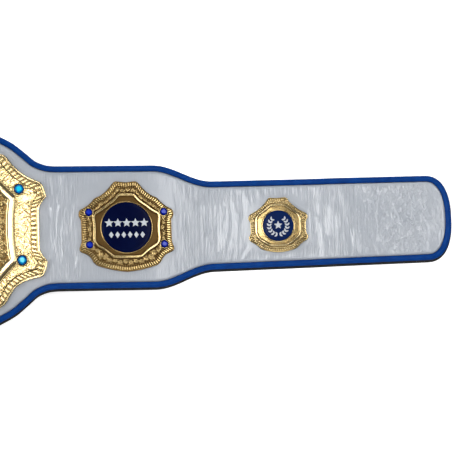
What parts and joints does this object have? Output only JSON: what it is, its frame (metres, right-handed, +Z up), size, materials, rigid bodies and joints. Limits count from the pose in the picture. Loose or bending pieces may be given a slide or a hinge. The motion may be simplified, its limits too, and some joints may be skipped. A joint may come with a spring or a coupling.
{
  "type": "championship title belt",
  "caption": "Wide leather title belt lying on its back, with blue piping, a large cast gold main plate, smaller gold side plates, dark blue discs and cut blue stones.",
  "frame": {"origin": "on the floor under the middle of the main plate, at the bottom centre of the belt's box", "axes": "+X along the belt to its right end, +Y across it to the plates' upper edge, +Z up off the floor"},
  "size_m": [1.2993, 0.2791, 0.0576],
  "materials": {
    "white_leather": "glossy, finely wrinkled",
    "black_leather": "matt, grained",
    "blue_piping": "satin",
    "gold_plate": "polished and frosted",
    "navy_enamel": "gloss",
    "light_blue_glass": "cut and foiled",
    "blue_glass": "cut and foiled",
    "closure_fabric": "napped"
  },
  "bodies": {
    "root": {"strap_back": "black_leather", "strap_front": "white_leather", "piping": "blue_piping", "main_plate": "gold_plate", "main_disc": "navy_enamel", "main_gem_1": "light_blue_glass", "main_gem_2": "light_blue_glass", "main_gem_3": "light_blue_glass", "main_gem_4": "light_blue_glass", "inner_plate_right": "gold_plate", "inner_disc_right": "navy_enamel", "inner_gem_right_1": "blue_glass", "inner_gem_right_2": "blue_glass", "inner_gem_right_3": "blue_glass", "inner_gem_right_4": "blue_glass", "outer_plate_right": "gold_plate", "outer_disc_right": "navy_enamel", "inner_plate_left": "gold_plate", "inner_disc_left": "navy_enamel", "inner_gem_left_1": "blue_glass", "inner_gem_left_2": "blue_glass", "inner_gem_left_3": "blue_glass", "inner_gem_left_4": "blue_glass", "outer_plate_left": "gold_plate", "outer_disc_left": "navy_enamel", "closure_hook_patch": "closure_fabric", "closure_loop_patch": "closure_fabric"}
  },
  "joints": []
}
